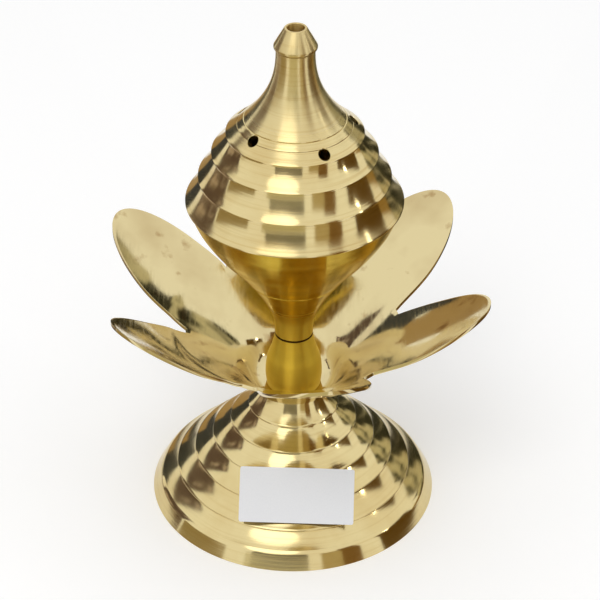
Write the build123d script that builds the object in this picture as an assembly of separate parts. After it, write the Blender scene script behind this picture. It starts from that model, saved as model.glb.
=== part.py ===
from build123d import *
import os
from math import atan2, cos, degrees, hypot, radians, sin

# Incense stick holder of turned and cast brass, in millimetres, +Z up.
# The origin is the centre of the foot ring, on the table that it stands on, and -Y is the front.

# Shared fits and cuts
OVERRUN = 1.0  # how far a cut runs past the face that it opens
THREAD_GAP = 0.05  # radial play of a thread, which is drawn as a plain cylinder
LID_GAP = 0.3  # radial play of the lid's spigot in the cup
PRESS_GAP = 0.02  # radial play of the finial's spigot in the spire
PASS_GAP = 0.2  # radial play of a screw in a hole that it only passes through

# Turned tiers: each hollow ends in a crisp lip that stands out over the next one
TIER_LIP = 0.3
TIER_STEP = 0.45
BASE_COVE_SHARE = 0.045
DOME_COVE_SHARE = 0.055

# Base bell
FOOT_RADIUS = 35.0
FOOT_WALL = 2.0
RIM_RADIUS = 32.7
RIM_HEIGHT = 3.85
RIM_WALL = 2.3
LOW_TIER_RADIUS = 28.8
LOW_TIER_HEIGHT = 7.4
TOP_TIER_RADIUS = 11.0
TOP_TIER_HEIGHT = 25.0
BASE_TIERS = 5
BASE_HEIGHT = 30.0
BASE_TOP_RADIUS = 7.2
BELL_WALL = 4.0  # from the lips straight in to the hollow
CEILING_DROP = 2.5  # from the top lip down to the hollow's ceiling

# Screw and washer that hold the plate and the stem on the bell
SCREW_RADIUS = 2.5
SCREW_GRIP = 5.5
SCREW_TIP_GAP = 0.6
SCREW_HEAD_RADIUS = 4.75
SCREW_HEAD_HEIGHT = 3.0
SCREW_HEAD_ROUND = 1.2
SCREW_SLOT_WIDTH = 1.2
SCREW_SLOT_DEPTH = 1.4
WASHER_RADIUS = 6.0
WASHER_THICKNESS = 1.0

# Lotus plate: a spun bowl with six petals, each set by hand
PLATE_THICKNESS = 1.0
PLATE_SEAT_RADIUS = 7.5
BOWL_RADIUS = 26.0
BOWL_RISE = 15.74
BOWL_ANGLE = 34.0
BOWL_MIDDLE_SHARES = (0.375, 0.43)
PETAL_REACH = 50.0
PETAL_RISE = 15.2
PETAL_TIP_ANGLE = 36.0
PETAL_MIDDLE_SHARES = (0.47, 0.42)
PETAL_WIDTH = 25.4
PETAL_WIDEST_SHARE = 0.12
PETAL_ROOT_LENGTH = 30.0
PETAL_SECTOR = 70.0
PETAL_TURNS = (279.5, 344.5, 46.5, 99.5, 152.0, 214.0)
PETAL_LEANS = (2.8, 0.0, -1.5, 0.0, 6.5, 8.0)
PETAL_REACH_SHARES = (0.984, 0.944, 1.072, 0.97, 1.018, 1.018)

# Stem
STEM_HEIGHT = 14.5
STEM_BELLY_RADIUS = 6.85
NECK_RADIUS = 4.55
STEM_HEIGHT_SHARES = (0.0, 0.24, 0.51, 0.70, 0.89, 1.0)
STEM_RADIUS_SHARES = (0.87, 1.0, 0.83, 0.42, 0.11, 0.0)

# Stud that screws the burner on the stem
STUD_RADIUS = 2.0
STUD_IN_STEM = 5.5
STUD_IN_CUP = 6.0
STUD_END_GAP = 0.4
STUD_CHAMFER = 0.4

# Burner cup
CUP_HEIGHT = 37.5
CUP_RIM_RADIUS = 25.0
CUP_WALL = 2.2  # measured level, so that the sloping wall is thinner
CUP_FLOOR = 11.0  # from the neck's seam up to the floor
CUP_HEIGHT_SHARES = (0.0, 0.11, 0.20, 0.36, 0.52, 0.68, 0.84, 1.0)
CUP_RADIUS_SHARES = (0.0, 0.012, 0.07, 0.235, 0.443, 0.682, 0.874, 1.0)
CUP_LINE_SHARE = 0.42
REGISTER_RADIUS = 21.9
REGISTER_DEPTH = 4.0

# Dome lid, its spire and its stick holes
DOME_RIM_RADIUS = 25.3
SKIRT_RADIUS = 15.8
SKIRT_RISE = 18.0  # from the lid's seat up to the skirt's lip
TIER_RADIUS_SHARES = (0.35, 0.68, 1.0)
TIER_DROP_SHARES = (0.29, 0.64, 1.0)
SPIGOT_DEPTH = 3.5
SPIGOT_WALL = 1.4
DOME_WALL = 3.2  # from the lips straight in to the hollow
SPIRE_RISE = 20.8
SPIRE_TOP_RADIUS = 4.45
SPIRE_FLARE_POWER = 2.4
SPIRE_SHARES = (0.0, 0.2, 0.4, 0.6, 0.8, 1.0)
CHIMNEY_RADIUS = 2.4
CHIMNEY_SHARE = 0.32
HOLLOW_SHARES = (0.45, 0.6, 0.8, 1.0)
SPIRE_WALL = 2.4
STICK_HOLE_RADIUS = 1.4
STICK_HOLE_CIRCLE = 13.6  # radius at which the holes meet the skirt, apart from what follows
STICK_HOLE_CIRCLE_SHARES = (1.045, 1.0, 1.0, 1.0, 0.95)  # drilled by hand, so not on one true circle
STICK_HOLE_TURNS = (-62.5, 9.0, 81.0, 153.0, 223.0)
LINE_RADIUS = 0.22  # section of the fine turned lines
SKIRT_LINE_SHARES = (0.83, 0.9)

# Finial
FINIAL_HEIGHT = 5.4
FINIAL_TOP_RADIUS = 2.54
FINIAL_SHOULDER_RADIUS = 4.95
FINIAL_CHAMFER_RISE = 0.6
FINIAL_BAND_RISE = 0.5
FINIAL_SPIGOT_RADIUS = 3.2
FINIAL_SPIGOT_LENGTH = 3.0
FINIAL_END_GAP = 0.4
VENT_RADIUS = 2.0

# Paper label, flat across the lips at the front of the bell
LABEL_WIDTH = 27.5
LABEL_HEIGHT = 13.3
LABEL_THICKNESS = 0.15
LABEL_GAP = 0.05
LABEL_ACROSS = 0.9
LABEL_UP = 8.5  # from the lowest lip to the middle of the label
LABEL_TURN = -1.4

# Levels
BELL_CEILING = TOP_TIER_HEIGHT - CEILING_DROP
PLATE_TOP = BASE_HEIGHT + PLATE_THICKNESS
NECK_SEAM = PLATE_TOP + STEM_HEIGHT
LID_SEAT = NECK_SEAM + CUP_HEIGHT
SKIRT_LEVEL = LID_SEAT + SKIRT_RISE
SPIRE_TOP = SKIRT_LEVEL + SPIRE_RISE


def between(low, high, share):
    """The value that lies at a share of the way from low to high."""
    return low + (high - low) * share


def lines(*points):
    """Straight edges that join a row of points."""
    return [Line(a, b) for a, b in zip(points, points[1:])]


def cove(upper, lower, depth_share):
    """Hollow arc from an upper point of a turned outline to a lower, wider one."""
    out, down = lower[0] - upper[0], lower[1] - upper[1]
    middle = (
        (upper[0] + lower[0]) / 2 + down * depth_share,
        (upper[1] + lower[1]) / 2 - out * depth_share,
    )
    return ThreePointArc(upper, middle, lower)


def under_lip(lip):
    """The point where the next hollow starts, under a lip."""
    return (lip[0] - TIER_STEP, lip[1] - TIER_LIP)


def tiers(start, lips, depth_share):
    """Hollow tiers down a turned wall, from start to the last of the lips."""
    edges = []
    for lip in lips:
        edges.append(cove(start, lip, depth_share))
        if lip is not lips[-1]:
            start = under_lip(lip)
            edges += lines(lip, (lip[0], start[1]), start)
    return edges


def turned(edges):
    """Solid of revolution about +Z from the closed half outline (radius, height)."""
    return revolve(Plane.XZ * make_face(edges), Axis.Z)


def rod(radius, bottom, top):
    """Plain cylinder on +Z between two levels."""
    return Pos(0, 0, bottom) * Cylinder(radius, top - bottom, align=(Align.CENTER, Align.CENTER, Align.MIN))


def turned_line(radius, level):
    """Cutter for a fine line that the lathe leaves round a wall."""
    return revolve(Plane.XZ * Pos(radius, level) * Circle(LINE_RADIUS), Axis.Z)


def base_lips():
    """Lips of the bell from the top one down to the lowest, on one straight slope."""
    last = BASE_TIERS - 1
    return [
        (
            between(TOP_TIER_RADIUS, LOW_TIER_RADIUS, i / last),
            between(TOP_TIER_HEIGHT, LOW_TIER_HEIGHT, i / last),
        )
        for i in range(BASE_TIERS)
    ]


def make_base_bell():
    """Hollow bell with tiers, a rim, a slanted foot band and a thick top for the screw."""
    slope = (LOW_TIER_RADIUS - TOP_TIER_RADIUS) / (TOP_TIER_HEIGHT - LOW_TIER_HEIGHT)
    ceiling_radius = LOW_TIER_RADIUS - (BELL_CEILING - LOW_TIER_HEIGHT) * slope - BELL_WALL
    top = (BASE_TOP_RADIUS, BASE_HEIGHT)
    rim = (RIM_RADIUS, RIM_HEIGHT)
    edges = tiers(top, [*base_lips(), rim], BASE_COVE_SHARE)
    edges += lines(
        rim,
        (FOOT_RADIUS, 0),
        (FOOT_RADIUS - FOOT_WALL, 0),
        (RIM_RADIUS - FOOT_WALL, RIM_HEIGHT - RIM_WALL),
        (LOW_TIER_RADIUS - BELL_WALL, LOW_TIER_HEIGHT),
        (ceiling_radius, BELL_CEILING),
        (0, BELL_CEILING),
        (0, BASE_HEIGHT),
        top,
    )
    return turned(edges) - rod(SCREW_RADIUS + PASS_GAP, BELL_CEILING - OVERRUN, BASE_HEIGHT + OVERRUN)


def make_tie_screw():
    """Slotted screw, head down inside the bell, with its tip in the stem."""
    head_top = BELL_CEILING - WASHER_THICKNESS
    head_bottom = head_top - SCREW_HEAD_HEIGHT
    head = rod(SCREW_HEAD_RADIUS, head_bottom, head_top)
    head = fillet(head.edges().sort_by(Axis.Z)[0], SCREW_HEAD_ROUND)
    slot = Pos(0, 0, head_bottom) * Box(
        2 * (SCREW_HEAD_RADIUS + OVERRUN), SCREW_SLOT_WIDTH, 2 * SCREW_SLOT_DEPTH
    )
    return head + rod(SCREW_RADIUS, head_top, PLATE_TOP + SCREW_GRIP) - slot


def make_screw_washer():
    """Flat washer between the screw's head and the bell's ceiling."""
    bottom = BELL_CEILING - WASHER_THICKNESS
    ring = rod(WASHER_RADIUS, bottom, BELL_CEILING)
    return ring - rod(SCREW_RADIUS + PASS_GAP, bottom - OVERRUN, BELL_CEILING + OVERRUN)


def sheet_outline(upper_edges):
    """Closed outline of a sheet whose upper face is given; it is as thick all along, measured down."""
    under = [Pos(0, -PLATE_THICKNESS) * edge for edge in upper_edges]
    start, end = upper_edges[0] @ 0, upper_edges[-1] @ 1
    return upper_edges + under + lines(start, under[0] @ 0) + lines(end, under[-1] @ 1)


def heading(angle):
    """Direction at an angle above level, in (radius, height)."""
    return (cos(radians(angle)), sin(radians(angle)))


def make_petal(turn, lean, reach_share):
    """One petal: a sector of the plate beyond the bowl, cut to an egg-shaped outline."""
    root = (BOWL_RADIUS, PLATE_TOP + BOWL_RISE)
    length = PETAL_REACH * reach_share - BOWL_RADIUS

    def leant(out, up):
        """A point of the petal, given from its root, after the petal is bent at the root."""
        across, along = heading(lean)[1], heading(lean)[0]
        return (root[0] + out * along - up * across, root[1] + out * across + up * along)

    middle = leant(length * PETAL_MIDDLE_SHARES[0], PETAL_RISE * PETAL_MIDDLE_SHARES[1])
    tip = leant(length, PETAL_RISE)
    tip_heading = heading(PETAL_TIP_ANGLE + lean)
    past_tip = (tip[0] + OVERRUN * tip_heading[0], tip[1] + OVERRUN * tip_heading[1])
    upper = [
        Spline(root, middle, tip, tangents=[heading(BOWL_ANGLE + lean), tip_heading]),
        Line(tip, past_tip),
    ]
    face = Rot(0, 0, turn - PETAL_SECTOR / 2) * (Plane.XZ * make_face(sheet_outline(upper)))
    sector = revolve(face, Axis.Z, PETAL_SECTOR)
    widest = between(root[0], tip[0], PETAL_WIDEST_SHARE)
    egg = make_face(
        [
            EllipticalCenterArc((widest, 0), tip[0] - widest, PETAL_WIDTH / 2, -90, arc_size=180),
            EllipticalCenterArc((widest, 0), PETAL_ROOT_LENGTH, PETAL_WIDTH / 2, 90, arc_size=180),
        ]
    )
    return sector & extrude(Rot(0, 0, turn) * egg, tip[1] + OVERRUN)


def make_lotus_plate():
    """Spun bowl with a flat seat and a screw hole, and the petals that are cut from its rim."""
    hole = (SCREW_RADIUS + PASS_GAP, PLATE_TOP)
    seat = (PLATE_SEAT_RADIUS, PLATE_TOP)
    rim = (BOWL_RADIUS, PLATE_TOP + BOWL_RISE)
    middle = (
        between(seat[0], rim[0], BOWL_MIDDLE_SHARES[0]),
        between(seat[1], rim[1], BOWL_MIDDLE_SHARES[1]),
    )
    upper = [Line(hole, seat), Spline(seat, middle, rim, tangents=[heading(0), heading(BOWL_ANGLE)])]
    plate = turned(sheet_outline(upper))
    for petal in zip(PETAL_TURNS, PETAL_LEANS, PETAL_REACH_SHARES):
        plate += make_petal(*petal)
    return plate


def make_stem():
    """Turned baluster with a blind hole at each end."""
    outline = [
        (
            between(NECK_RADIUS, STEM_BELLY_RADIUS, wide),
            between(PLATE_TOP, NECK_SEAM, high),
        )
        for wide, high in zip(STEM_RADIUS_SHARES, STEM_HEIGHT_SHARES)
    ]
    edges = [Spline(*outline)]
    edges += lines(outline[-1], (0, NECK_SEAM), (0, PLATE_TOP), outline[0])
    screw_hole = rod(SCREW_RADIUS + THREAD_GAP, PLATE_TOP - OVERRUN, PLATE_TOP + SCREW_GRIP + SCREW_TIP_GAP)
    stud_hole = rod(STUD_RADIUS + THREAD_GAP, NECK_SEAM - STUD_IN_STEM - STUD_END_GAP, NECK_SEAM + OVERRUN)
    return turned(edges) - screw_hole - stud_hole


def make_neck_stud():
    """Stud with chamfered ends, half in the stem and half in the cup's neck."""
    stud = rod(STUD_RADIUS, NECK_SEAM - STUD_IN_STEM, NECK_SEAM + STUD_IN_CUP)
    return chamfer(stud.edges().filter_by(GeomType.CIRCLE), STUD_CHAMFER)


def cup_outline():
    """Points of the cup's outer wall, from the neck's seam up to the rim."""
    return [
        (
            between(NECK_RADIUS, CUP_RIM_RADIUS, wide),
            between(NECK_SEAM, LID_SEAT, high),
        )
        for wide, high in zip(CUP_RADIUS_SHARES, CUP_HEIGHT_SHARES)
    ]


def make_cup():
    """Hollow cup on a solid neck, with a register for the lid and a tapped hole for the stud."""
    outer = cup_outline()
    wall = Spline(*outer, tangents=[(0, 1), (outer[-1][0] - outer[-2][0], outer[-1][1] - outer[-2][1])])
    floor = NECK_SEAM + CUP_FLOOR
    ledge = LID_SEAT - REGISTER_DEPTH

    def inside(level):
        """The hollow's radius at a level, a wall's width inside the cup."""
        cut = wall.edge().intersect(Edge.make_line((0, level), (CUP_RIM_RADIUS + OVERRUN, level)))
        return cut.vertices()[0].X - CUP_WALL

    levels = [floor] + [y for _, y in outer if floor < y < ledge] + [ledge]
    hollow = [(inside(y), y) for y in levels]
    edges = [wall, Spline(*hollow)]
    edges += lines(outer[0], (0, NECK_SEAM), (0, floor), hollow[0])
    edges += lines(hollow[-1], (REGISTER_RADIUS, ledge), (REGISTER_RADIUS, LID_SEAT), outer[-1])
    stud_hole = rod(STUD_RADIUS + THREAD_GAP, NECK_SEAM - OVERRUN, NECK_SEAM + STUD_IN_CUP + STUD_END_GAP)
    mark = wall @ CUP_LINE_SHARE
    return turned(edges) - stud_hole - turned_line(mark.X, mark.Y)


def spire(share, wall=0):
    """Point of the spire's flare at a share of the way down, less a wall."""
    radius = SPIRE_TOP_RADIUS + (SKIRT_RADIUS - SPIRE_TOP_RADIUS) * share**SPIRE_FLARE_POWER
    return (radius - wall, SPIRE_TOP - SPIRE_RISE * share)


def stick_hole(turn, circle):
    """Cutter for one stick hole, square to the skirt where the circle of that radius crosses it."""
    share = (circle - SPIRE_TOP_RADIUS) / (SKIRT_RADIUS - SPIRE_TOP_RADIUS)
    share = share ** (1 / SPIRE_FLARE_POWER)
    out = SPIRE_FLARE_POWER * (circle - SPIRE_TOP_RADIUS) / share
    normal = degrees(atan2(out, SPIRE_RISE))
    length = 2 * (DOME_WALL + OVERRUN)
    radius, level = spire(share)
    return Rot(0, 0, turn) * Pos(radius, 0, level) * Rot(0, 90 - normal, 0) * Cylinder(STICK_HOLE_RADIUS, length)


def make_dome():
    """Hollow lid: spigot, tiers, skirt with stick holes, and the spire with its chimney."""
    rim = (DOME_RIM_RADIUS, LID_SEAT + TIER_LIP)
    skirt = (SKIRT_RADIUS, SKIRT_LEVEL)
    lips = [
        (between(skirt[0], rim[0], out), between(skirt[1], rim[1], down))
        for out, down in zip(TIER_RADIUS_SHARES, TIER_DROP_SHARES)
    ]
    spigot = REGISTER_RADIUS - LID_GAP
    mouth = spigot - SPIGOT_WALL
    slope = (rim[0] - skirt[0]) / (skirt[1] - rim[1])
    hollow = [spire(share, between(SPIRE_WALL, DOME_WALL, share)) for share in HOLLOW_SHARES]
    chimney = (CHIMNEY_RADIUS, spire(CHIMNEY_SHARE)[1])
    start = under_lip(skirt)
    edges = [Spline(*[spire(share) for share in SPIRE_SHARES])]
    edges += lines(skirt, (skirt[0], start[1]), start)
    edges += tiers(start, lips, DOME_COVE_SHARE)
    edges += lines(
        lips[-1],
        (rim[0], LID_SEAT),
        (spigot, LID_SEAT),
        (spigot, LID_SEAT - SPIGOT_DEPTH),
        (mouth, LID_SEAT - SPIGOT_DEPTH),
        (mouth, rim[1] + (rim[0] - DOME_WALL - mouth) / slope),
        hollow[-1],
    )
    edges.append(Spline(chimney, *hollow))
    edges += lines(chimney, (CHIMNEY_RADIUS, SPIRE_TOP), spire(0))
    dome = turned(edges)
    dome -= rod(
        FINIAL_SPIGOT_RADIUS + PRESS_GAP, SPIRE_TOP - FINIAL_SPIGOT_LENGTH - FINIAL_END_GAP, SPIRE_TOP + OVERRUN
    )
    for share in SKIRT_LINE_SHARES:
        dome -= turned_line(*spire(share))
    for turn, share in zip(STICK_HOLE_TURNS, STICK_HOLE_CIRCLE_SHARES):
        dome -= stick_hole(turn, STICK_HOLE_CIRCLE * share)
    return dome


def make_finial():
    """Tip of the spire: a cone with a shoulder, a spigot and the smoke vent."""
    shoulder = SPIRE_TOP + FINIAL_CHAMFER_RISE
    edges = lines(
        (VENT_RADIUS, SPIRE_TOP - FINIAL_SPIGOT_LENGTH),
        (FINIAL_SPIGOT_RADIUS, SPIRE_TOP - FINIAL_SPIGOT_LENGTH),
        (FINIAL_SPIGOT_RADIUS, SPIRE_TOP),
        (SPIRE_TOP_RADIUS, SPIRE_TOP),
        (FINIAL_SHOULDER_RADIUS, shoulder),
        (FINIAL_SHOULDER_RADIUS, shoulder + FINIAL_BAND_RISE),
        (FINIAL_TOP_RADIUS, SPIRE_TOP + FINIAL_HEIGHT),
        (VENT_RADIUS, SPIRE_TOP + FINIAL_HEIGHT),
        (VENT_RADIUS, SPIRE_TOP - FINIAL_SPIGOT_LENGTH),
    )
    return turned(edges)


def make_paper_label():
    """Blank paper label, flat, touching the lips along the front of the bell."""
    run = (LOW_TIER_RADIUS - TOP_TIER_RADIUS, TOP_TIER_HEIGHT - LOW_TIER_HEIGHT)
    length = hypot(*run)
    front = (0, -LOW_TIER_RADIUS, LOW_TIER_HEIGHT)
    face = Plane(front, x_dir=(1, 0, 0), z_dir=(0, -run[1] / length, run[0] / length))
    card = Box(LABEL_WIDTH, LABEL_HEIGHT, LABEL_THICKNESS, align=(Align.CENTER, Align.CENTER, Align.MIN))
    return face * Pos(LABEL_ACROSS, LABEL_UP, LABEL_GAP) * Rot(0, 0, LABEL_TURN) * card


MAKERS = {
    "base_bell": make_base_bell,
    "tie_screw": make_tie_screw,
    "screw_washer": make_screw_washer,
    "lotus_plate": make_lotus_plate,
    "stem": make_stem,
    "neck_stud": make_neck_stud,
    "cup": make_cup,
    "dome": make_dome,
    "finial": make_finial,
    "paper_label": make_paper_label,
}

os.makedirs("parts", exist_ok=True)
for name, make in MAKERS.items():
    export_step(make(), f"parts/{name}.step")
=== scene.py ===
import logging
import math
from collections.abc import Callable
from dataclasses import dataclass
from enum import Enum
from functools import cache, partial

import bmesh
import bpy
from bmesh.types import BMEdge, BMesh, BMVert
from bpy.types import Material, Node, NodeTree, Object
from mathutils import Matrix, Quaternion, Vector
from mathutils.geometry import interpolate_bezier


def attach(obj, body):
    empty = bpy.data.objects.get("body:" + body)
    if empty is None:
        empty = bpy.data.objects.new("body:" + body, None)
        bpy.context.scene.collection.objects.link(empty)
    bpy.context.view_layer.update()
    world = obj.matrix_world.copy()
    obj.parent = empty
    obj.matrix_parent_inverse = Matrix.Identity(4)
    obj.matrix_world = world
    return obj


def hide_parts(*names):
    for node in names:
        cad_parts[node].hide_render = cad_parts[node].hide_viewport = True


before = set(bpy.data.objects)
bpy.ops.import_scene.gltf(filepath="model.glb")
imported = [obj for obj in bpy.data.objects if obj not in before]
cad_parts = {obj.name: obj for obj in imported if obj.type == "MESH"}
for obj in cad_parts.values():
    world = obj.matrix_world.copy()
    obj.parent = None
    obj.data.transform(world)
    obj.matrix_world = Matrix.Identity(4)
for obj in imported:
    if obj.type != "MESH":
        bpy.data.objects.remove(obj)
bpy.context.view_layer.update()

MM = 0.001
ROUND_STEPS = 224  # facets round a turned piece
COVE_STEPS = 12  # facets down one hollow tier
CURVE_STEPS = 8  # facets between two given points of a curved wall
EDGE_STEPS = 2  # facets across the small round of an edge
BEAD_STEPS = 8  # facets across the larger round of a bead
CREASE = math.radians(28)  # edges sharper than this get a small round
HARD = math.radians(50)  # edges sharper than this are shaded hard
MERGE = 0.0005 * MM  # turned points nearer than this are one
NEAR = 0.01 * MM  # how near its given place a corner is looked for
PLATE_TOP = 31.0  # where the stem stands on the plate, in millimetres
SEAM = 45.5  # where the cup meets the stem
LID_SEAT = 83.0  # where the lid meets the cup
NO_LEVEL = 1000.0  # a level that no piece reaches
WHITE = (1.0, 1.0, 1.0, 1.0)
RANGE = ("From Min", "From Max", "To Min", "To Max")  # what the four values of a range stand for
LOG = logging.getLogger("incense_holder")

Point = tuple[float, float]
Place = tuple[float, float, float]
Values = tuple[float, ...]
AddNode = Callable[..., Node]


def linear(hex_colour: str) -> Values:
    """Turns an sRGB hex colour into the linear colour that the shaders take.

    Args:
        hex_colour: six hex digits after a hash.

    Returns:
        Red, green, blue and alpha.
    """
    digits = hex_colour.lstrip("#")
    parts = [int(digits[i : i + 2], 16) / 255 for i in (0, 2, 4)]
    return (*(c / 12.92 if c <= 0.04045 else ((c + 0.055) / 1.055) ** 2.4 for c in parts), 1.0)


def feed(node: Node, links: dict) -> None:
    """Links a node's inputs.

    Args:
        node: the node that is fed.
        links: names or numbers of inputs, with the socket for each, or a node for its first output in use.
    """
    for key, source in links.items():
        if isinstance(source, Node):
            source = next(output for output in source.outputs if output.enabled)
        node.id_data.links.new(source, node.inputs[key])


def add_node(tree: NodeTree, kind: str, settings: dict | None = None, links: dict | None = None) -> Node:
    """Adds one node with its settings and its links.

    Args:
        tree: the node tree that it goes in.
        kind: the node's type name, without the start that all of them share.
        settings: property names, or names or numbers of inputs, with their values.
        links: names or numbers of inputs, with what feeds each.

    Returns:
        The new node.
    """
    node = tree.nodes.new("ShaderNode" + kind)
    for key, value in (settings or {}).items():
        if isinstance(key, str) and hasattr(node, key):
            setattr(node, key, value)
        else:
            node.inputs[key].default_value = value
    feed(node, links or {})
    return node


def new_material(name: str, settings: dict) -> tuple[Material, AddNode, Node]:
    """Starts a material that has only its shader and its output.

    Args:
        name: the material's name.
        settings: names of the shader's inputs, with their values.

    Returns:
        The material, what adds a node to it, and its principled shader.
    """
    material = bpy.data.materials.new(name)
    material.use_nodes = True
    material.node_tree.nodes.clear()
    node = partial(add_node, material.node_tree)
    shader = node("BsdfPrincipled", settings)
    node("OutputMaterial", links={"Surface": shader})
    return material, node, shader


def seen_rays(node: AddNode) -> Node:
    """Tells what the camera sees, straight or mirrored or through glass, from the rest.

    Args:
        node: what adds a node.

    Returns:
        A node that gives one for such rays and nought for the others.
    """
    rays = node("LightPath").outputs
    highest = {"operation": "MAXIMUM"}
    seen = node("Math", highest, {0: rays["Is Camera Ray"], 1: rays["Is Glossy Ray"]})
    return node("Math", highest, {0: seen, 1: rays["Is Transmission Ray"]})


@dataclass(frozen=True)
class TurnedBrass:
    """Yellow brass from the lathe: bright, with fine rings that draw its reflections out up and down."""

    name: str
    colour: str
    stain: str
    roughness: float
    stretch: float
    ring_mm: float
    ring_depth_mm: float
    ring_tint: float
    polish_from_mm: float = NO_LEVEL
    polish_change: float = 0.0
    seam_mm: float = NO_LEVEL
    uneven: float = 1.0
    polish_span_mm: float = 6.0
    ring_drift: float = 0.02
    ring_roughness: float = 0.65
    mark_levels: Point = (0.5, 0.72)
    band_rings: float = 6.0
    band_levels: Point = (0.3, 0.7)
    band_polish: Point = (-0.3, 0.4)
    patch_mm: float = 15.0
    patch_range: Values = (0.45, 0.8, 0.0, 0.45)
    # Colour and half width of the painted shade band at the seam.
    seam_shade: str = "#4A3412"
    seam_shade_mm: float = 0.2
    quarter_turn: float = 0.25

    def make(self) -> Material:
        """Builds the material with rings about the turned axis, uneven polish and faint handling stains.

        Returns:
            The material.
        """
        metal = {"Metallic": 1.0, "Anisotropic": self.stretch, "Anisotropic Rotation": self.quarter_turn}
        material, node, shader = new_material(self.name, metal)
        spot = node("TexCoord").outputs["Object"]
        x, y, z = node("SeparateXYZ", links={0: spot}).outputs
        square_x = node("Math", {"operation": "MULTIPLY"}, {0: x, 1: x})
        square = node("Math", {"operation": "MULTIPLY_ADD"}, {0: y, 1: y, 2: square_x})
        radius = node("Math", {"operation": "SQRT"}, {0: square})
        # A little of X lets each ring fade in and out on its way round.
        drift = node("Math", {"operation": "MULTIPLY", 1: self.ring_drift}, {0: x})
        rings = node("CombineXYZ", links={0: radius, 1: z, 2: drift})
        # Real tool marks are about 0.1 mm apart, too fine for the picture, so they are drawn coarser.
        scale = 1 / (self.ring_mm * MM)
        grain = {"Scale": scale, "Detail": 3.0, "Roughness": self.ring_roughness}
        fine = node("TexNoise", grain, {"Vector": rings})
        bump = node("Bump", {"Distance": self.ring_depth_mm * MM}, {"Height": fine})
        # Wider bands of rings are polished better or worse.
        bands = node("TexNoise", {"Scale": scale / self.band_rings}, {"Vector": rings})
        polish = [(1 + share * self.uneven) * self.roughness for share in self.band_polish]
        rough = node("MapRange", dict(zip(RANGE, (*self.band_levels, *polish))), {"Value": bands})
        # Above a level the polish is coarser, or finer where the change is below nought.
        start, end = self.polish_from_mm * MM, (self.polish_from_mm + self.polish_span_mm) * MM
        change = node("MapRange", dict(zip(RANGE, (start, end, 0.0, self.polish_change))), {"Value": z})
        gloss = node("Math", {"operation": "ADD"}, {0: rough, 1: change})
        # Handling leaves soft, browner patches.
        patches = node("TexNoise", {"Scale": 1 / (self.patch_mm * MM), "Detail": 4.0}, {"Vector": spot})
        handled = node("MapRange", dict(zip(RANGE, self.patch_range)), {"Value": patches})
        # The deeper tool marks hold a little dirt.
        marks = node("MapRange", dict(zip(RANGE, (*self.mark_levels, 0.0, self.ring_tint))), {"Value": fine})
        dull = node("Math", {"operation": "ADD", "use_clamp": True}, {0: handled, 1: marks})
        tint = node("Mix", {"data_type": "RGBA", 6: linear(self.colour), 7: linear(self.stain)}, {0: dull})
        # Painted shade: a dark band at the seam against the next piece stands in for the seam's shadow.
        line = {"operation": "COMPARE", 1: self.seam_mm * MM, 2: self.seam_shade_mm * MM}
        seam = node("Math", line, {0: z})
        seam_shaded = node("Mix", {"data_type": "RGBA", 7: linear(self.seam_shade)}, {0: seam, 6: tint})
        # The tool marks run round the axis, and the quarter turn stretches reflections across them.
        round_way = node("VectorMath", {"operation": "CROSS_PRODUCT", 0: (0.0, 0.0, 1.0)}, {1: spot})
        spaces = {"convert_from": "OBJECT", "convert_to": "WORLD"}
        along = node("VectorTransform", spaces, {0: round_way})
        feed(shader, {"Tangent": along, "Base Color": seam_shaded, "Roughness": gloss, "Normal": bump})
        return material


@dataclass(frozen=True)
class SheetBrass:
    """Brass sheet, spun, cut and bent by hand: paler, a little wavy, with hair scratches and a few stains."""

    name: str
    colour: str
    stain: str
    roughness: float
    wave_mm: float
    wave_depth_mm: float
    scratch_mm: float
    scratch_depth_mm: float
    scratch_turns: Point = (25.0, -50.0)
    scratch_tilt: Point = (0.3, 0.2)
    scratch_scale: Place = (1.0, 0.04, 0.3)
    scratch_levels: Point = (0.15, 0.4)
    scratch_polish: Point = (0.7, 1.5)
    stain_mm: float = 7.0
    stain_range: Values = (0.6, 0.74, 0.0, 0.75)
    cloud_mm: float = 16.0
    cloud_range: Values = (0.45, 0.75, 0.0, 0.3)

    def make(self) -> Material:
        """Builds the material with waves from bending, scratches two ways, and sparse brown stains.

        Returns:
            The material.
        """
        material, node, shader = new_material(self.name, {"Metallic": 1.0})
        spot = node("TexCoord").outputs["Object"]
        waves = node("TexNoise", {"Scale": 1 / (self.wave_mm * MM), "Detail": 1.0}, {"Vector": spot})
        relief = node("Bump", {"Distance": self.wave_depth_mm * MM}, {"Height": waves})
        scratches = []
        for turn in self.scratch_turns:
            lie = {"Rotation": (*self.scratch_tilt, math.radians(turn)), "Scale": self.scratch_scale}
            along = node("Mapping", lie, {"Vector": spot})
            hairs = node("TexNoise", {"Scale": 1 / (self.scratch_mm * MM)}, {"Vector": along})
            depth = {"Distance": self.scratch_depth_mm * MM}
            relief = node("Bump", depth, {"Height": hairs, "Normal": relief})
            scratches.append(hairs)
        crossed = node("Math", {"operation": "MULTIPLY"}, dict(enumerate(scratches)))
        polish = [share * self.roughness for share in self.scratch_polish]
        rough = node("MapRange", dict(zip(RANGE, (*self.scratch_levels, *polish))), {"Value": crossed})
        # Stains are a few millimetres across and far apart.
        stains = node("TexNoise", {"Scale": 1 / (self.stain_mm * MM), "Detail": 5.0}, {"Vector": spot})
        brown = node("MapRange", dict(zip(RANGE, self.stain_range)), {"Value": stains})
        # Uneven polish leaves faint clouds, larger than the stains.
        clouds = node("TexNoise", {"Scale": 1 / (self.cloud_mm * MM), "Detail": 3.0}, {"Vector": spot})
        faint = node("MapRange", dict(zip(RANGE, self.cloud_range)), {"Value": clouds})
        dull = node("Math", {"operation": "MAXIMUM"}, {0: brown, 1: faint})
        tint = node("Mix", {"data_type": "RGBA", 6: linear(self.colour), 7: linear(self.stain)}, {0: dull})
        feed(shader, {"Base Color": tint, "Roughness": rough, "Normal": relief})
        return material


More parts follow.
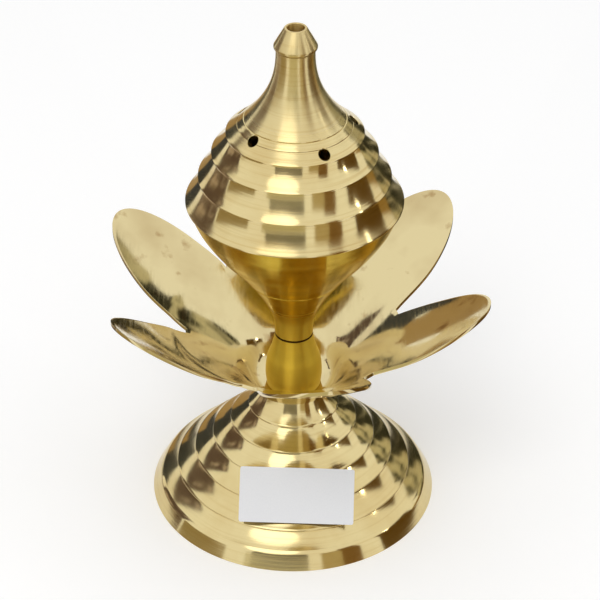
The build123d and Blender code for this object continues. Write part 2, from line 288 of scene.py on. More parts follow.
@dataclass(frozen=True)
class PlainFinish:
    """A plain material with a fine grain: zinc-plated steel, or coated paper."""

    name: str
    colour: str
    shade: str
    metallic: float
    roughness: float
    grain_mm: float
    grain_depth_mm: float
    grain_polish: Point = (0.85, 1.15)

    def make(self) -> Material:
        """Builds the material with a grain in its colour, its gloss and its relief.

        Returns:
            The material.
        """
        material, node, shader = new_material(self.name, {"Metallic": self.metallic})
        spot = node("TexCoord").outputs["Object"]
        grain = node("TexNoise", {"Scale": 1 / (self.grain_mm * MM), "Detail": 3.0}, {"Vector": spot})
        tint = node("Mix", {"data_type": "RGBA", 6: linear(self.colour), 7: linear(self.shade)}, {0: grain})
        polish = [share * self.roughness for share in self.grain_polish]
        rough = node("MapRange", dict(zip(RANGE, (0.0, 1.0, *polish))), {"Value": grain})
        bump = node("Bump", {"Distance": self.grain_depth_mm * MM}, {"Height": grain})
        feed(shader, {"Base Color": tint, "Roughness": rough, "Normal": bump})
        return material


class Finish(Enum):
    """The finishes of this holder."""

    BELL = TurnedBrass("turned_brass_bell", "#E0CE98", "#BE9A52", 0.12, 0.6, 0.60, 0.012, 0.2)
    LID = TurnedBrass(
        "turned_brass_lid", "#E0CE98", "#BE9A52", 0.15, 0.8, 0.65, 0.020, 0.3,
        polish_from_mm=102.0, polish_change=0.16,
    )
    # The cup's and stem's colours are yellower and brighter than the rest of the brass: painted reflection of
    # brass in brass, and painted light in place of the lamp's streak.
    CUP = TurnedBrass(
        "turned_brass_cup", "#E2C24A", "#B8942E", 0.42, 1.0, 0.35, 0.001, 0.05,
        polish_from_mm=50.0, polish_change=-0.22, seam_mm=SEAM, uneven=0.3,
    )
    STEM = TurnedBrass(
        "turned_brass_stem", "#E6C64A", "#B8942E", 0.44, 1.0, 0.35, 0.001, 0.05, seam_mm=SEAM, uneven=0.3
    )
    PETAL = SheetBrass("spun_brass_sheet", "#DFCF9E", "#8E6226", 0.10, 9.0, 0.075, 0.5, 0.0015)
    STEEL = PlainFinish("zinc_plated_steel", "#B9BCC0", "#8E9196", 1.0, 0.35, 0.4, 0.002)
    PAPER = PlainFinish("coated_paper", "#EDEEF1", "#E2E4E8", 0.0, 0.55, 0.25, 0.004)


@cache
def material_of(finish: Finish) -> Material:
    """Gives a finish's material, made on its first use."""
    return finish.value.make()


def between(low: float, high: float, share: float) -> float:
    """Gives the value at a share of the way from low to high."""
    return low + (high - low) * share


def read_off(line: list[Point], place: float, beyond: float) -> float:
    """Reads a line's second value at a place along its first one.

    Args:
        line: points in the order of their first values.
        place: where the value is wanted.
        beyond: the value off the line's ends.

    Returns:
        The value there.
    """
    for (x0, y0), (x1, y1) in zip(line, line[1:]):
        if x0 <= place <= x1:
            return between(y0, y1, (place - x0) / (x1 - x0))
    return beyond


def flat(point: Point) -> Vector:
    """Gives a radius and height as a vector."""
    return Vector((*point, 0))


def curve_through(points: list[Point], ways: list[Vector], steps: int) -> list[Point]:
    """Finds points along a curve through the given ones.

    Args:
        points: at least two points, as radius and height.
        ways: the way in which the curve runs at each of them.
        steps: how many parts each gap is divided into.

    Returns:
        The curve's points, the given ones among them.
    """
    knots = [flat(point) for point in points]
    run = [points[0]]
    for i, (start, end) in enumerate(zip(knots, knots[1:])):
        arm = (end - start).length / 3
        part = interpolate_bezier(start, start + ways[i] * arm, end - ways[i + 1] * arm, end, steps + 1)
        run += [(p.x, p.y) for p in part[1:]]
    return run


def smooth_run(points: list[Point], steps: int = CURVE_STEPS) -> list[Point]:
    """Finds points along a curve that runs at each given point as its two neighbours lie."""
    pairs = zip(points[1:] + points[-1:], points[:1] + points[:-1])
    return curve_through(points, [(flat(a) - flat(b)).normalized() for a, b in pairs], steps)


def verts_in(made: list) -> list[BMVert]:
    """Picks the vertices out of what an operator made."""
    return [item for item in made if isinstance(item, BMVert)]


def thicken(mesh: BMesh, rise: float) -> None:
    """Gives a sheet its thickness.

    Args:
        mesh: the sheet, one face thick.
        rise: how far up its copy is drawn, below nought for down.
    """
    drawn = bmesh.ops.extrude_face_region(mesh, geom=mesh.faces[:])["geom"]
    bmesh.ops.translate(mesh, vec=(0, 0, rise), verts=verts_in(drawn))
    bmesh.ops.recalc_face_normals(mesh, faces=mesh.faces[:])


def soften(mesh: BMesh, angle: float, round_mm: float) -> None:
    """Rounds a mesh's crisp edges a little.

    Args:
        mesh: the mesh.
        angle: edges sharper than this are crisp, in radians.
        round_mm: size of the round.
    """
    crisp = [e for e in mesh.edges if e.is_manifold and e.calc_face_angle() > angle]
    bmesh.ops.bevel(
        mesh, geom=crisp, offset=round_mm * MM, segments=EDGE_STEPS, profile=0.5, affect="EDGES", material=-1,
        clamp_overlap=True,
    )


def shade_hard(mesh: BMesh, angle: float) -> None:
    """Lets the shading break at edges sharper than an angle in radians."""
    for edge in mesh.edges:
        edge.smooth = not (edge.is_manifold and edge.calc_face_angle() > angle)


def show(data: bpy.types.ID) -> Object:
    """Puts an object in the scene.

    Args:
        data: its mesh, lamp or camera, which also gives it its name.

    Returns:
        The new object.
    """
    item = bpy.data.objects.new(data.name, data)
    bpy.context.scene.collection.objects.link(item)
    return item


def show_mesh(mesh: BMesh, name: str, material: Material) -> Object:
    """Puts a finished mesh in the scene.

    Args:
        mesh: the mesh, which is freed.
        name: the object's name.
        material: its material.

    Returns:
        The new object.
    """
    data = bpy.data.meshes.new(name)
    mesh.to_mesh(data)
    mesh.free()
    data.materials.append(material)
    return show(data)


class Outline:
    """Half outline of a turned piece in millimetres, drawn point by point and then spun about the axis."""

    def __init__(self, start: Point) -> None:
        """Starts the outline at a radius and height."""
        self.mesh = bmesh.new()
        self.first = self.tip = self.mesh.verts.new((start[0] * MM, 0, start[1] * MM))

    def to(self, *points: Point) -> "Outline":
        """Draws straight runs.

        Args:
            points: radius and height of each next point.

        Returns:
            The outline, for the next call.
        """
        for radius, height in points:
            self.tip = bmesh.ops.extrude_vert_indiv(self.mesh, verts=[self.tip])["verts"][0]
            self.tip.co = (radius * MM, 0, height * MM)
        return self

    def hollow(self, end: Point, depth_share: float) -> None:
        """Draws a hollow arc by swinging the last point about the arc's centre.

        Args:
            end: radius and height where the arc ends, lower and further out.
            depth_share: the arc's depth as a share of its chord.
        """
        goal = Vector((end[0] * MM, 0, end[1] * MM))
        chord = goal - self.tip.co
        outward = Vector((-chord.z, 0, chord.x)).normalized()
        depth = depth_share * chord.length
        arc_radius = (chord.length**2 / 4 + depth**2) / (2 * depth)
        centre = (self.tip.co + goal) / 2 + outward * (arc_radius - depth)
        angle = 2 * math.asin(chord.length / 2 / arc_radius)
        swung = bmesh.ops.spin(
            self.mesh, geom=[self.tip], cent=centre, axis=(0, 1, 0), angle=-angle, steps=COVE_STEPS
        )
        self.tip = verts_in(swung["geom_last"])[0]

    def close(self) -> "Outline":
        """Joins the last point to the first one."""
        self.mesh.edges.new((self.tip, self.first))
        return self

    def turn(self, round_mm: float, steps: int = ROUND_STEPS, bead: Place | None = None) -> BMesh:
        """Spins the outline into a closed shell and rounds its crisp edges a little.

        Args:
            round_mm: size of the small round on crisp edges.
            steps: facets round the piece.
            bead: radius and height of a corner that gets a larger round, and that round's size.

        Returns:
            The finished mesh.
        """
        mesh = self.mesh
        bmesh.ops.spin(
            mesh, geom=mesh.verts[:] + mesh.edges[:], cent=(0, 0, 0), axis=(0, 0, 1), angle=math.tau,
            steps=steps, use_merge=True,
        )
        bmesh.ops.remove_doubles(mesh, verts=mesh.verts[:], dist=MERGE)
        bmesh.ops.recalc_face_normals(mesh, faces=mesh.faces[:])
        if bead:
            *corner, size = (value * MM for value in bead)
            at_corner = {v for v in mesh.verts if math.dist((v.co.xy.length, v.co.z), corner) < NEAR}
            edges = [e for e in mesh.edges if at_corner.issuperset(e.verts)]
            bmesh.ops.bevel(
                mesh, geom=edges, offset=size, segments=BEAD_STEPS, profile=0.5, affect="EDGES", material=-1
            )
        soften(mesh, CREASE, round_mm)
        return mesh


def place_piece(mesh: BMesh, node: str, body: str, finish: Finish, even: bool = True) -> Object:
    """Makes the shown piece that stands for a solid.

    Args:
        mesh: the piece's mesh, in its place.
        node: the solid that it stands for, which also gives it its name.
        body: the moving body that it rides on.
        finish: the piece's finish.
        even: whether its normals follow the larger faces.

    Returns:
        The new object.
    """
    for face in mesh.faces:
        face.smooth = True
    shade_hard(mesh, HARD)
    piece = show_mesh(mesh, node + "_look", material_of(finish))
    if even:
        piece.modifiers.new("even_normals", "WEIGHTED_NORMAL").keep_sharp = True
    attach(piece, body)
    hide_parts(node)
    LOG.info("%s: %d faces, on %s", piece.name, len(piece.data.polygons), body)
    return piece


def dress_node(node: str, finish: Finish) -> None:
    """Gives a solid that is shown as it is its finish.

    Args:
        node: the solid's name.
        finish: the finish that it gets.
    """
    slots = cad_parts[node].data.materials
    slots.clear()
    slots.append(material_of(finish))
    LOG.info("%s: shown as built", node)


@dataclass
class Stand:
    """The bell-shaped base with the screw and washer inside it and the paper label on its front."""

    foot: Point = (35.0, 0.0)
    foot_wall: float = 2.0
    rim: Point = (32.7, 3.85)
    rim_wall: float = 2.3
    rim_round: float = 0.9
    low_lip: Point = (28.8, 7.4)
    top_lip: Point = (11.0, 25.0)
    tiers: int = 5
    top: Point = (7.2, 30.0)
    lip: float = 0.3
    step: float = 0.45
    cove_share: float = 0.045
    edge_round: float = 0.1
    wall: float = 4.0
    ceiling: float = 22.5
    screw_hole: float = 2.7
    label_size: Point = (27.5, 13.3)
    label_thickness: float = 0.15
    label_corner: float = 0.5
    label_corner_steps: int = 4
    label_gap: float = 0.05
    label_place: Point = (0.9, 8.5)
    label_turn: float = -1.4

    def bell(self) -> BMesh:
        """Turns the bell: hollow tiers with crisp lips, a rim, the foot band and the hollow inside.

        Returns:
            The bell's mesh.
        """
        line = Outline(self.top)
        for i in range(self.tiers):
            radius, height = (between(a, b, i / (self.tiers - 1)) for a, b in zip(self.top_lip, self.low_lip))
            line.hollow((radius, height), self.cove_share)
            line.to((radius, height - self.lip), (radius - self.step, height - self.lip))
        line.hollow(self.rim, self.cove_share)
        slope = (self.low_lip[0] - self.top_lip[0]) / (self.top_lip[1] - self.low_lip[1])
        under = self.top_lip[0] + (self.top_lip[1] - self.ceiling) * slope - self.wall
        line.to(self.foot, (self.foot[0] - self.foot_wall, 0))
        line.to((self.rim[0] - self.foot_wall, self.rim[1] - self.rim_wall))
        line.to((self.low_lip[0] - self.wall, self.low_lip[1]), (under, self.ceiling))
        line.to((self.screw_hole, self.ceiling), (self.screw_hole, self.top[1]))
        return line.close().turn(self.edge_round, bead=(*self.rim, self.rim_round))

    def label(self) -> BMesh:
        """Cuts the blank label, flat, with slightly rounded corners, and lays it on the front lips.

        Returns:
            The label's mesh.
        """
        mesh = bmesh.new()
        bmesh.ops.create_grid(mesh, x_segments=1, y_segments=1, size=0.5)
        width, height = self.label_size
        bmesh.ops.scale(mesh, vec=(width * MM, height * MM, 1), verts=mesh.verts[:])
        bmesh.ops.bevel(
            mesh, geom=mesh.verts[:], offset=self.label_corner * MM, segments=self.label_corner_steps,
            profile=0.5, affect="VERTICES", material=-1,
        )
        thicken(mesh, self.label_thickness * MM)
        across = Vector((1, 0, 0))
        run = Vector((0, self.low_lip[0] - self.top_lip[0], self.top_lip[1] - self.low_lip[1])).normalized()
        lay = Matrix((across, run, across.cross(run))).transposed().to_4x4()
        lay.translation = Vector((0, -self.low_lip[0], self.low_lip[1])) * MM
        shift = Matrix.Translation(Vector((*self.label_place, self.label_gap)) * MM)
        spin = Matrix.Rotation(math.radians(self.label_turn), 4, "Z")
        bmesh.ops.transform(mesh, matrix=lay @ shift @ spin, verts=mesh.verts[:])
        return mesh

    def build(self) -> None:
        """Builds and dresses the base's pieces."""
        place_piece(self.bell(), "base_bell", "stand", Finish.BELL)
        place_piece(self.label(), "paper_label", "stand", Finish.PAPER, even=False)
        dress_node("tie_screw", Finish.STEEL)
        dress_node("screw_washer", Finish.STEEL)


@dataclass
class Lotus:
    """The plate: a spun bowl whose rim is cut into six petals, each bent up by hand."""

    thickness: float = 1.0
    top: float = PLATE_TOP
    hole: float = 2.7
    seat: float = 7.5
    seat_ring_share: float = 0.6
    bowl_radius: float = 26.0
    bowl_rise: float = 15.74
    bowl_angle: float = 34.0
    bowl_middle_shares: Point = (0.375, 0.43)
    reach: float = 50.0
    rise: float = 15.2
    tip_angle: float = 36.0
    middle_shares: Point = (0.47, 0.42)
    width: float = 25.4
    widest_share: float = 0.12
    root_length: float = 30.0
    root_bend: float = 5.0
    turns: Values = (279.5, 344.5, 46.5, 99.5, 152.0, 214.0)
    leans: Values = (2.8, 0.0, -1.5, 0.0, 6.5, 8.0)
    reach_shares: Values = (0.984, 0.944, 1.072, 0.97, 1.018, 1.018)
    edge_points: int = 76
    edge_round: float = 0.2
    edge_crease: float = 40.0
    rim_steps: Point = (0.15, 1.5)
    bowl_rows: int = 18
    petal_rows: int = 24
    line_steps: int = 60
    merge: float = 0.002

    @staticmethod
    def bend(points: list[Point], angles: Point, steps: int) -> list[Point]:
        """Finds a curve through three points that starts and ends at angles above level, in degrees."""
        leave, arrive = (Vector((math.cos(a), math.sin(a), 0)) for a in map(math.radians, angles))
        return curve_through(points, [leave, (flat(points[2]) - flat(points[0])).normalized(), arrive], steps)

    def bowl_line(self) -> list[Point]:
        """Draws the bowl's upper line.

        Returns:
            Points from the screw hole out to where the petals start.
        """
        rim = (self.bowl_radius, self.top + self.bowl_rise)
        out, up = self.bowl_middle_shares
        middle = (between(self.seat, rim[0], out), between(self.top, rim[1], up))
        curve = self.bend([(self.seat, self.top), middle, rim], (0, self.bowl_angle), self.bowl_rows // 2)
        ring = between(self.hole, self.seat, self.seat_ring_share)
        return [(self.hole, self.top), (ring, self.top), *curve]

    def petal_line(self, lean: float, reach_share: float) -> list[Point]:
        """Draws a petal's upper line along its middle, after it is bent at its root.

        Args:
            lean: how far it is bent up, in degrees.
            reach_share: its reach as a share of the usual one.

        Returns:
            Points from the root to the tip.
        """
        length = self.reach * reach_share - self.bowl_radius
        middle = (length * self.middle_shares[0], self.rise * self.middle_shares[1])
        points = [(0.0, 0.0), middle, (length, self.rise)]
        line = []
        for out, up in self.bend(points, (self.bowl_angle, self.tip_angle), self.line_steps):
            share = min(1.0, out / self.root_bend)
            # The bend starts and ends softly.
            turn = math.radians(lean * share * share * (3 - 2 * share))
            across, along = math.sin(turn), math.cos(turn)
            radius = self.bowl_radius + out * along - up * across
            line.append((radius, self.top + self.bowl_rise + out * across + up * along))
        return line

    def petal_edge(self, tip: float) -> list[Point]:
        """Draws a petal's egg-shaped edge beyond the bowl.

        Args:
            tip: how far out its tip is.

        Returns:
            Azimuth from the petal's middle, in degrees, and radius, from one side round the tip to the other.
        """
        widest = between(self.bowl_radius, tip, self.widest_share)
        half, root = self.width / 2, self.root_length
        square = root**2 - half**2
        rest = widest**2 + half**2 - self.bowl_radius**2
        end = math.acos((math.sqrt((widest * root) ** 2 - square * rest) - widest * root) / square)
        points = []
        for i in range(self.edge_points + 1):
            t = between(-end, end, i / self.edge_points)
            x = widest + (tip - widest if math.cos(t) > 0 else root) * math.cos(t)
            y = half * math.sin(t)
            points.append((math.degrees(math.atan2(y, x)), math.hypot(x, y)))
        return points

    def columns(self) -> list[tuple[float, float, list[Point]]]:
        """Works out the sheet's columns all the way round.

        Returns:
            Each column's azimuth, the radius where the sheet ends there, and its petal's line.
        """
        petals = []
        for turn, lean, share in zip(self.turns, self.leans, self.reach_shares):
            line = self.petal_line(lean, share)
            petals.append((turn, line, self.petal_edge(line[-1][0])))
        marks = sorted({(turn + azimuth) % 360 for turn, _, edge in petals for azimuth, _ in edge})
        least, most = self.rim_steps
        kept = [marks[0]]
        for mark in marks[1:]:
            last, gap = kept[-1], mark - kept[-1]
            if gap > least:
                parts = math.ceil(gap / most)
                kept += [last + gap * k / parts for k in range(1, parts + 1)]
        found = []
        for azimuth in kept:
            radius, line = self.bowl_radius, petals[0][1]
            for turn, petal, edge in petals:
                reach = read_off(edge, (azimuth - turn + 180) % 360 - 180, self.bowl_radius)
                if reach > radius:
                    radius, line = reach, petal
            found.append((azimuth, radius, line))
        return found

    def plate(self) -> BMesh:
        """Draws the sheet ring by ring from the screw hole out, then gives it its thickness and soft edges.

        Returns:
            The plate's mesh.
        """
        columns = self.columns()
        rows = [[point] * len(columns) for point in self.bowl_line()]
        for k in range(1, self.petal_rows + 1):
            row = []
            for _, radius, line in columns:
                goal = between(self.bowl_radius, radius, k / self.petal_rows)
                row.append((goal, read_off(line, goal, line[-1][1])))
            rows.append(row)
        mesh = bmesh.new()
        ring = bmesh.ops.create_circle(mesh, segments=len(columns), radius=1.0)["verts"]
        edges = list({e for v in ring for e in v.link_edges})
        for number, row in enumerate(rows):
            if number:
                new = bmesh.ops.extrude_edge_only(mesh, edges=edges)["geom"]
                edges = [g for g in new if isinstance(g, BMEdge) and len(g.link_faces) == 1]
                fresh = set(verts_in(new))
                ring = [next(e.other_vert(v) for e in v.link_edges if e.other_vert(v) in fresh) for v in ring]
            for vert, (azimuth, _, _), (radius, height) in zip(ring, columns, row):
                angle = math.radians(azimuth)
                vert.co = (radius * MM * math.cos(angle), radius * MM * math.sin(angle), height * MM)
        bmesh.ops.remove_doubles(mesh, verts=mesh.verts[:], dist=self.merge * MM)
        bmesh.ops.dissolve_degenerate(mesh, edges=mesh.edges[:], dist=self.merge * MM)
        bmesh.ops.recalc_face_normals(mesh, faces=mesh.faces[:])
        thicken(mesh, -self.thickness * MM)
        soften(mesh, math.radians(self.edge_crease), self.edge_round)
        return mesh

    def build(self) -> None:
        """Builds and dresses the plate."""
        place_piece(self.plate(), "lotus_plate", "stand", Finish.PETAL, even=False)


@dataclass
class Burner:
    """The stem, the stud in its neck and the cup that screws on it."""

    neck: float = 4.55
    neck_gap: Point = (0.4, 0.3)
    belly: float = 6.85
    stem_heights: Values = (0.0, 0.24, 0.51, 0.70, 0.89, 1.0)
    stem_widths: Values = (0.87, 1.0, 0.83, 0.42, 0.11, 0.0)
    stem_round: float = 0.18
    screw_bore: Point = (2.55, 37.1)
    stud: float = 2.0
    stud_levels: Point = (40.0, 51.5)
    stud_gap: float = 0.05
    stud_end_gap: float = 0.4
    stud_round: float = 0.02
    stud_steps: int = 64
    thread_pitch: float = 0.7
    thread_depth: float = 0.35
    thread_shares: Place = (0.1, 0.5, 0.9)
    rim: Point = (25.0, LID_SEAT)
    wall: float = 2.2
    floor: float = 56.5
    cup_heights: Values = (0.0, 0.11, 0.20, 0.36, 0.52, 0.68, 0.84, 1.0)
    cup_widths: Values = (0.0, 0.012, 0.07, 0.235, 0.443, 0.682, 0.874, 1.0)
    cup_round: float = 0.15
    register: Point = (21.9, 79.0)
    mark: float = 62.4
    mark_size: float = 0.2

    def stem(self) -> BMesh:
        """Turns the stem with its two blind holes.

        Returns:
            The stem's mesh.
        """
        shares = zip(self.stem_widths, self.stem_heights)
        points = [(between(self.neck, self.belly, r), between(PLATE_TOP, SEAM, z)) for r, z in shares]
        wall = smooth_run(points)
        line = Outline(wall[0]).to(*wall[1:])
        bore = self.stud + self.stud_gap
        bottom = self.stud_levels[0] - self.stud_end_gap
        line.to((bore, SEAM), (bore, bottom), (0, bottom))
        line.to((0, self.screw_bore[1]), self.screw_bore, (self.screw_bore[0], PLATE_TOP))
        return line.close().turn(self.stem_round)

    def threaded_stud(self) -> BMesh:
        """Turns the stud with grooves at the pitch of its thread.

        Returns:
            The stud's mesh.
        """
        low, high = self.stud_levels
        root = self.stud - self.thread_depth
        line = Outline((0, low)).to((root, low), (self.stud, low + self.thread_depth))
        for i in range(int((high - low - 2 * self.thread_depth) / self.thread_pitch)):
            level = low + self.thread_depth + i * self.thread_pitch
            start, deepest, end = (level + share * self.thread_pitch for share in self.thread_shares)
            line.to((self.stud, start), (root, deepest), (self.stud, end))
            line.to((self.stud, level + self.thread_pitch))
        line.to((self.stud, high - self.thread_depth), (root, high), (0, high))
        return line.turn(self.stud_round, self.stud_steps)

    def cup(self) -> BMesh:
        """Turns the cup: solid neck, flared wall with one fine line, hollow bowl and the lid's register.

        Returns:
            The cup's mesh.
        """
        wide, top = self.rim
        shares = zip(self.cup_widths, self.cup_heights)
        outer = smooth_run([(between(self.neck, wide, r), between(SEAM, top, z)) for r, z in shares])
        inside = [(r - self.wall, z) for r, z in outer if self.floor < z < self.register[1]]
        inset, gap = self.neck_gap
        line = Outline((self.neck - inset, SEAM))
        line.to((self.neck - inset, SEAM + gap), (self.neck, SEAM + gap))
        for (r0, z0), (r1, z1) in zip(outer, outer[1:]):
            if z0 < self.mark <= z1:
                radius = between(r0, r1, (self.mark - z0) / (z1 - z0))
                half = self.mark_size / 2
                line.to((radius, self.mark - half), (radius - half, self.mark), (radius, self.mark + half))
            line.to((r1, z1))
        line.to((self.register[0], top), self.register, (inside[-1][0], self.register[1]))
        line.to(*reversed(inside), (inside[0][0], self.floor), (0, self.floor))
        bore = self.stud + self.stud_gap
        end = self.stud_levels[1] + self.stud_end_gap
        line.to((0, end), (bore, end), (bore, SEAM))
        return line.close().turn(self.cup_round)

    def build(self) -> None:
        """Builds and dresses the stem, the stud and the cup."""
        place_piece(self.stem(), "stem", "stand", Finish.STEM)
        place_piece(self.threaded_stud(), "neck_stud", "neck_thread", Finish.CUP)
        place_piece(self.cup(), "cup", "burner", Finish.CUP)


@dataclass
class Lid:
    """The tiered dome with its spire and stick holes, and the finial on top."""

    seat: float = LID_SEAT
    rim: float = 25.3
    skirt: Point = (15.8, 101.0)
    radius_shares: Values = (0.35, 0.68, 1.0)
    drop_shares: Values = (0.29, 0.64, 1.0)
    lip: float = 0.3
    step: float = 0.45
    cove_share: float = 0.055
    edge_round: float = 0.1
    spigot: float = 21.6
    spigot_wall: float = 1.4
    spigot_depth: float = 3.5
    wall: float = 3.2
    spire_wall: float = 2.4
    spire_top: Point = (4.45, 121.8)
    spire_steps: int = 40
    flare_power: float = 2.4
    chimney: float = 2.4
    chimney_share: float = 0.32
    hollow_shares: Values = (0.45, 0.6, 0.8, 1.0)
    hollow_steps: int = 6
    mark_shares: Values = (0.83, 0.9)
    mark_size: float = 0.2
    socket: Point = (3.22, 118.4)
    stick_hole: float = 1.4
    stick_hole_edge: float = 0.12
    stick_hole_steps: int = 40
    stick_circle: float = 13.6
    stick_circle_shares: Values = (1.045, 1.0, 1.0, 1.0, 0.95)
    stick_turns: Values = (-62.5, 9.0, 81.0, 153.0, 223.0)
    finial_shoulder: Point = (4.95, 122.4)
    finial_band: float = 0.5
    finial_top: Point = (2.54, 127.2)
    finial_spigot: Point = (3.2, 118.8)
    finial_round: float = 0.12
    vent: float = 2.0

    def flare(self, share: float, wall: float = 0.0) -> Point:
        """Finds the spire's radius and height at a share of its way down, and so far inside its surface."""
        top, low = self.spire_top, self.skirt
        return (top[0] + (low[0] - top[0]) * share**self.flare_power - wall, between(top[1], low[1], share))

    def dome(self) -> BMesh:
        """Turns the dome: flared spire with fine lines, hollow tiers, spigot, hollow and chimney.

        Returns:
            The dome's mesh, before its stick holes are drilled.
        """
        line = Outline(self.spire_top)
        half = self.mark_size / 2
        for i in range(1, self.spire_steps + 1):
            share = i / self.spire_steps
            for mark in self.mark_shares:
                if share - 1 / self.spire_steps < mark <= share:
                    r, z = self.flare(mark)
                    line.to((r - half, z + half), (r - half, z - half), (r + half, z - half))
            line.to(self.flare(share))
        lip = self.skirt
        for wide, down in zip(self.radius_shares, self.drop_shares):
            line.to((lip[0], lip[1] - self.lip), (lip[0] - self.step, lip[1] - self.lip))
            lip = (between(self.skirt[0], self.rim, wide), between(self.skirt[1], self.seat + self.lip, down))
            line.hollow(lip, self.cove_share)
        mouth, bottom = self.spigot - self.spigot_wall, self.seat - self.spigot_depth
        slope = (self.rim - self.skirt[0]) / (self.skirt[1] - self.seat - self.lip)
        line.to((self.rim, self.seat), (self.spigot, self.seat), (self.spigot, bottom), (mouth, bottom))
        line.to((mouth, self.seat + self.lip + (self.rim - self.wall - mouth) / slope))
        inside = [self.flare(s, between(self.spire_wall, self.wall, s)) for s in self.hollow_shares]
        crown = smooth_run([(self.chimney, self.flare(self.chimney_share)[1]), *inside], self.hollow_steps)
        line.to(*reversed(crown))
        line.to((self.chimney, self.socket[1]), self.socket, (self.socket[0], self.spire_top[1]))
        return line.close().turn(self.edge_round)

    def bits(self) -> bpy.types.Mesh:
        """Makes the bits that drill the stick holes, square to the skirt, each with a slightly broken edge.

        Returns:
            One mesh of all bits, in their places.
        """
        data = bpy.data.meshes.new("stick_hole_bits")
        whole = bmesh.new()
        hole, edge, wall = self.stick_hole, self.stick_hole_edge, self.wall
        wide = hole + 2 * edge
        for degrees, circle_share in zip(self.stick_turns, self.stick_circle_shares):
            reach = self.stick_circle * circle_share - self.spire_top[0]
            share = (reach / (self.skirt[0] - self.spire_top[0])) ** (1 / self.flare_power)
            slope = math.atan2(self.flare_power * reach / share, self.spire_top[1] - self.skirt[1])
            radius, level = self.flare(share)
            bit = Outline((0, -2 * wall)).to((hole, -2 * wall), (hole, -edge), (wide, edge), (wide, wall))
            mesh = bit.to((0, wall)).turn(0.0, self.stick_hole_steps)
            spin = Matrix.Rotation(math.radians(degrees), 4, "Z")
            shift = Matrix.Translation((radius * MM, 0, level * MM))
            tilt = Matrix.Rotation(math.pi / 2 - slope, 4, "Y")
            bmesh.ops.transform(mesh, matrix=spin @ shift @ tilt, verts=mesh.verts[:])
            mesh.to_mesh(data)
            mesh.free()
            whole.from_mesh(data)
        whole.to_mesh(data)
        whole.free()
        return data

    def drill(self, piece: Object) -> None:
        """Drills the stick holes.

        Args:
            piece: the dome's object.
        """
        cutter = show(self.bits())
        cut = piece.modifiers.new("stick_holes", "BOOLEAN")
        cut.operation, cut.solver, cut.object = "DIFFERENCE", "EXACT", cutter
        piece.modifiers.move(1, 0)
        graph = bpy.context.evaluated_depsgraph_get()
        piece.modifiers["even_normals"].show_viewport = False
        graph.update()
        drilled = bpy.data.meshes.new_from_object(piece.evaluated_get(graph))
        piece.modifiers.remove(cut)
        piece.modifiers["even_normals"].show_viewport = True
        piece.data = drilled
        bpy.data.objects.remove(cutter)
        mesh = bmesh.new()
        mesh.from_mesh(drilled)
        shade_hard(mesh, CREASE)
        mesh.to_mesh(drilled)
        mesh.free()

    def finial(self) -> BMesh:
        """Turns the finial: chamfered shoulder, narrow band, cone, vent and spigot.

        Returns:
            The finial's mesh.
        """
        wide, level = self.finial_shoulder
        line = Outline((self.vent, self.finial_spigot[1]))
        line.to(self.finial_spigot, (self.finial_spigot[0], self.spire_top[1]), self.spire_top)
        line.to((wide, level), (wide, level + self.finial_band))
        line.to(self.finial_top, (self.vent, self.finial_top[1]))
        return line.close().turn(self.finial_round)

    def build(self) -> None:
        """Builds and dresses the dome and the finial."""
        dome = place_piece(self.dome(), "dome", "lid", Finish.LID)
        self.drill(dome)
        place_piece(self.finial(), "finial", "lid", Finish.LID)


@dataclass(frozen=True)
class Card:
    """A toned card round the table that the polished metal mirrors, dappled where it has a second tone."""

    name: str
    azimuths: Point
    levels: Point
    tone: str
    dapple: str = ""


@dataclass(frozen=True)
class Lamp:
    """A soft lamp, placed by its azimuth from the camera's side and its elevation."""

    name: str
    azimuth: float
    elevation: float
    size: Point
    energy: float


